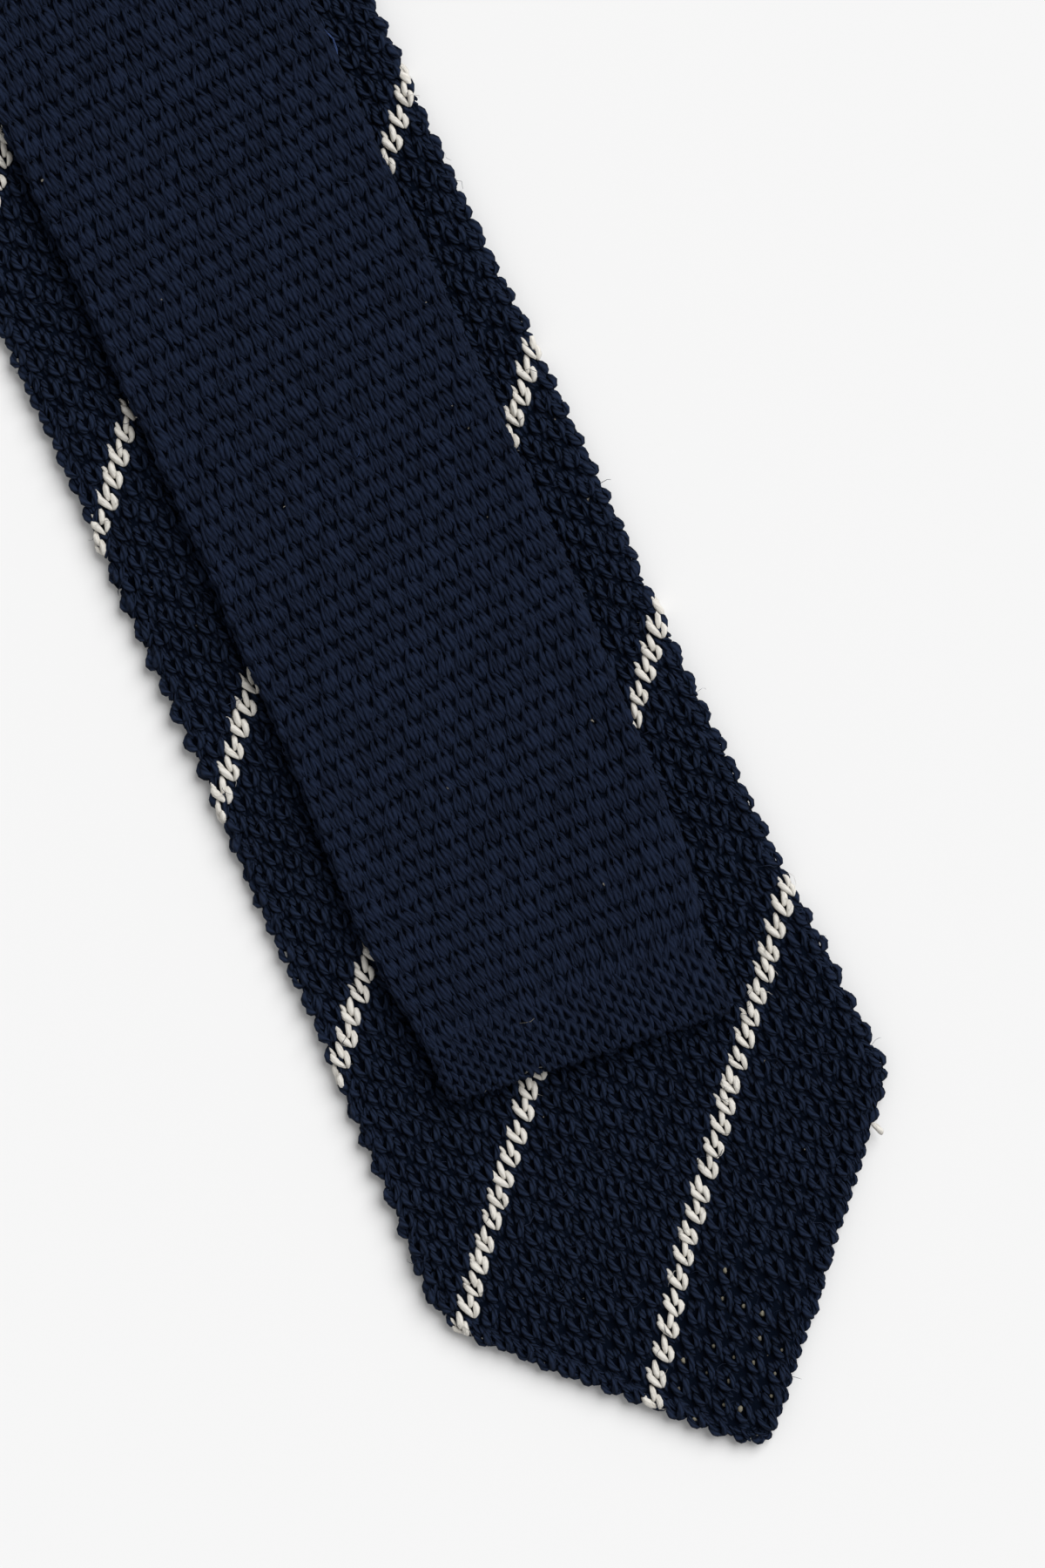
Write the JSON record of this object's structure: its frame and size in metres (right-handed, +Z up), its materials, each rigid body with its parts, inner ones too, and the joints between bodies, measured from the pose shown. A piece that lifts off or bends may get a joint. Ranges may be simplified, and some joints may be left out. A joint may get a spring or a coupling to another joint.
{
  "type": "regimental stripe tie",
  "caption": "Knitted necktie with diagonal white stripes on navy, a pointed blade and a plain straight-ended tail, folded in half and laid flat.",
  "frame": {"origin": "under the middle of the folded tie, on the surface that it lies on", "axes": "+Y along the tie from the blade's point to the fold, +X to the right of the blade as it is seen from above, +Z up"},
  "size_m": [0.06, 0.7551, 0.008],
  "materials": {
    "blade_knit": "matte tuck knit of navy yarn",
    "stripe_yarn": "matte off-white yarn",
    "tail_knit": "matte pique knit of navy yarn"
  },
  "bodies": {
    "root": {"front_blade": "blade_knit", "stripe_01": "stripe_yarn", "stripe_02": "stripe_yarn", "stripe_03": "stripe_yarn", "stripe_04": "stripe_yarn", "stripe_05": "stripe_yarn", "stripe_06": "stripe_yarn", "stripe_07": "stripe_yarn", "stripe_08": "stripe_yarn", "stripe_09": "stripe_yarn", "stripe_10": "stripe_yarn", "stripe_11": "stripe_yarn", "stripe_12": "stripe_yarn", "stripe_13": "stripe_yarn", "stripe_14": "stripe_yarn", "stripe_15": "stripe_yarn", "stripe_16": "stripe_yarn", "stripe_17": "stripe_yarn", "stripe_18": "stripe_yarn", "stripe_19": "stripe_yarn", "tail": "tail_knit", "tail_hem": "tail_knit"}
  },
  "joints": []
}
